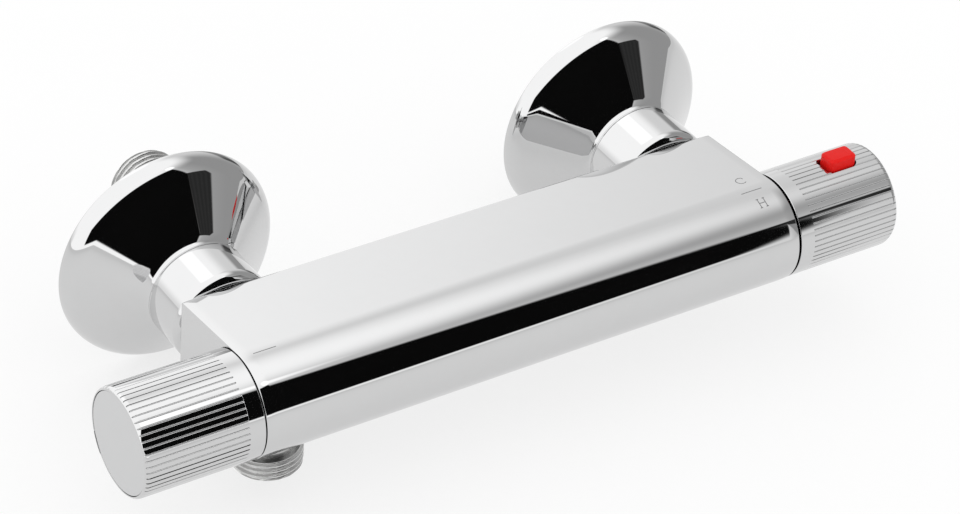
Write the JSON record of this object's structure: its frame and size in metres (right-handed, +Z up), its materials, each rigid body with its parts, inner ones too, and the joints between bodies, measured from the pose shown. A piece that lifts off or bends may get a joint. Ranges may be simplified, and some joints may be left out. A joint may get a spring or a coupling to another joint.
{
  "type": "thermostatic shower valve",
  "caption": "Exposed bar-shaped thermostatic shower valve with ribbed end handles, a red safety button, swivelling wall unions, flared wall flanges and a threaded outlet below.",
  "frame": {"origin": "on the bar's axis, midway between the two wall inlets", "axes": "+X along the bar from the flow handle to the temperature handle, +Y towards the wall, +Z up"},
  "size_m": [0.252, 0.1059, 0.068],
  "materials": {
    "chrome": "mirror polished",
    "cap_chrome": "fine satin",
    "plated_brass": "dull plated",
    "brass": "machined",
    "white_plastic": "moulded",
    "grey_plastic": "moulded",
    "red_plastic": "glossy",
    "black_rubber": "smooth",
    "ceramic": "lapped ceramic",
    "steel": "bright",
    "copper": "machined copper alloy"
  },
  "bodies": {
    "root": {"valve_body": "chrome", "outlet_nipple": "chrome", "outlet_seal": "black_rubber", "flow_cartridge_body": "white_plastic", "flow_cartridge_o_ring": "black_rubber", "fixed_ceramic_disc": "ceramic", "flow_seat_seal": "black_rubber", "flow_lock_nut": "brass", "stop_ring": "grey_plastic", "thermostat_cartridge_body": "white_plastic", "thermostat_o_rings": "black_rubber", "hot_and_cold_strainers": "steel", "thermostat_lock_nut": "brass", "return_spring": "steel", "left_inlet_tail": "plated_brass", "left_inlet_washer": "black_rubber", "left_check_valve_housing": "white_plastic", "left_check_spring": "steel", "right_inlet_tail": "plated_brass", "right_inlet_washer": "black_rubber", "right_check_valve_housing": "white_plastic", "right_check_spring": "steel"},
    "flow_handle_set": {"flow_handle": "chrome", "flow_handle_cap": "cap_chrome", "flow_handle_screw": "steel", "flow_handle_insert": "white_plastic", "flow_spindle": "brass", "flow_spindle_o_ring": "black_rubber", "flow_spindle_clip": "steel", "moving_ceramic_disc": "ceramic"},
    "temperature_handle_set": {"temperature_handle": "chrome", "temperature_handle_cap": "cap_chrome", "temperature_handle_screw": "steel", "temperature_handle_insert": "white_plastic", "thermostat_spindle": "brass", "thermostat_spindle_o_ring": "black_rubber", "button_spring": "steel"},
    "thermostat_element": {"adjusting_cup": "brass", "overload_spring": "steel", "overload_plate": "steel", "wax_element": "copper", "shuttle": "white_plastic"},
    "safety_button": {"safety_stop_button": "red_plastic"},
    "left_poppet": {"left_check_poppet": "grey_plastic"},
    "left_nut": {"left_union_nut": "chrome"},
    "left_union": {"left_eccentric_union": "plated_brass"},
    "left_flange": {"left_wall_flange": "chrome"},
    "right_poppet": {"right_check_poppet": "grey_plastic"},
    "right_nut": {"right_union_nut": "chrome"},
    "right_union": {"right_eccentric_union": "plated_brass"},
    "right_flange": {"right_wall_flange": "chrome"}
  },
  "joints": [
    {"name": "flow_handle_turn", "type": "hinge", "parent": "root", "child": "flow_handle_set", "pos_m": [-0.0897, 0, 0], "axis": [1, 0, 0], "range_deg": [0, 90]},
    {"name": "temperature_handle_turn", "type": "hinge", "parent": "root", "child": "temperature_handle_set", "pos_m": [0.089, 0, 0], "axis": [1, 0, 0], "range_deg": [-180, 70]},
    {"name": "thermostat_travel", "type": "slide", "parent": "root", "child": "thermostat_element", "axis": [-1, 0, 0], "range_m": [-0.0015, 0.0006], "deforming": ["return_spring"]},
    {"name": "safety_button_press", "type": "slide", "parent": "temperature_handle_set", "child": "safety_button", "axis": [0, 0, -1], "range_m": [0, 0.002], "stiffness_N_per_m": 150, "springref_m": -0.003, "deforming": ["button_spring"]},
    {"name": "left_check_poppet_lift", "type": "slide", "parent": "root", "child": "left_poppet", "axis": [0, -1, 0], "range_m": [0, 0.003], "stiffness_N_per_m": 30, "springref_m": -0.003, "deforming": ["left_check_spring"]},
    {"name": "left_union_nut_spin", "type": "hinge", "parent": "root", "child": "left_nut", "pos_m": [-0.075, 0.0335, 0], "axis": [0, 1, 0], "continuous": true},
    {"name": "left_union_swivel", "type": "hinge", "parent": "root", "child": "left_union", "pos_m": [-0.075, 0.0425, 0], "axis": [0, 1, 0], "continuous": true},
    {"name": "left_flange_slide", "type": "slide", "parent": "left_union", "child": "left_flange", "axis": [0, 1, 0], "range_m": [0, 0.004]},
    {"name": "right_check_poppet_lift", "type": "slide", "parent": "root", "child": "right_poppet", "axis": [0, -1, 0], "range_m": [0, 0.003], "stiffness_N_per_m": 30, "springref_m": -0.003, "deforming": ["right_check_spring"]},
    {"name": "right_union_nut_spin", "type": "hinge", "parent": "root", "child": "right_nut", "pos_m": [0.075, 0.0335, 0], "axis": [0, 1, 0], "continuous": true},
    {"name": "right_union_swivel", "type": "hinge", "parent": "root", "child": "right_union", "pos_m": [0.075, 0.0425, 0], "axis": [0, 1, 0], "continuous": true},
    {"name": "right_flange_slide", "type": "slide", "parent": "right_union", "child": "right_flange", "axis": [0, 1, 0], "range_m": [0, 0.004]}
  ],
  "couplings": [
    {"joint": "thermostat_travel", "follows": "temperature_handle_turn", "m_per_rad": 0.00047746}
  ]
}
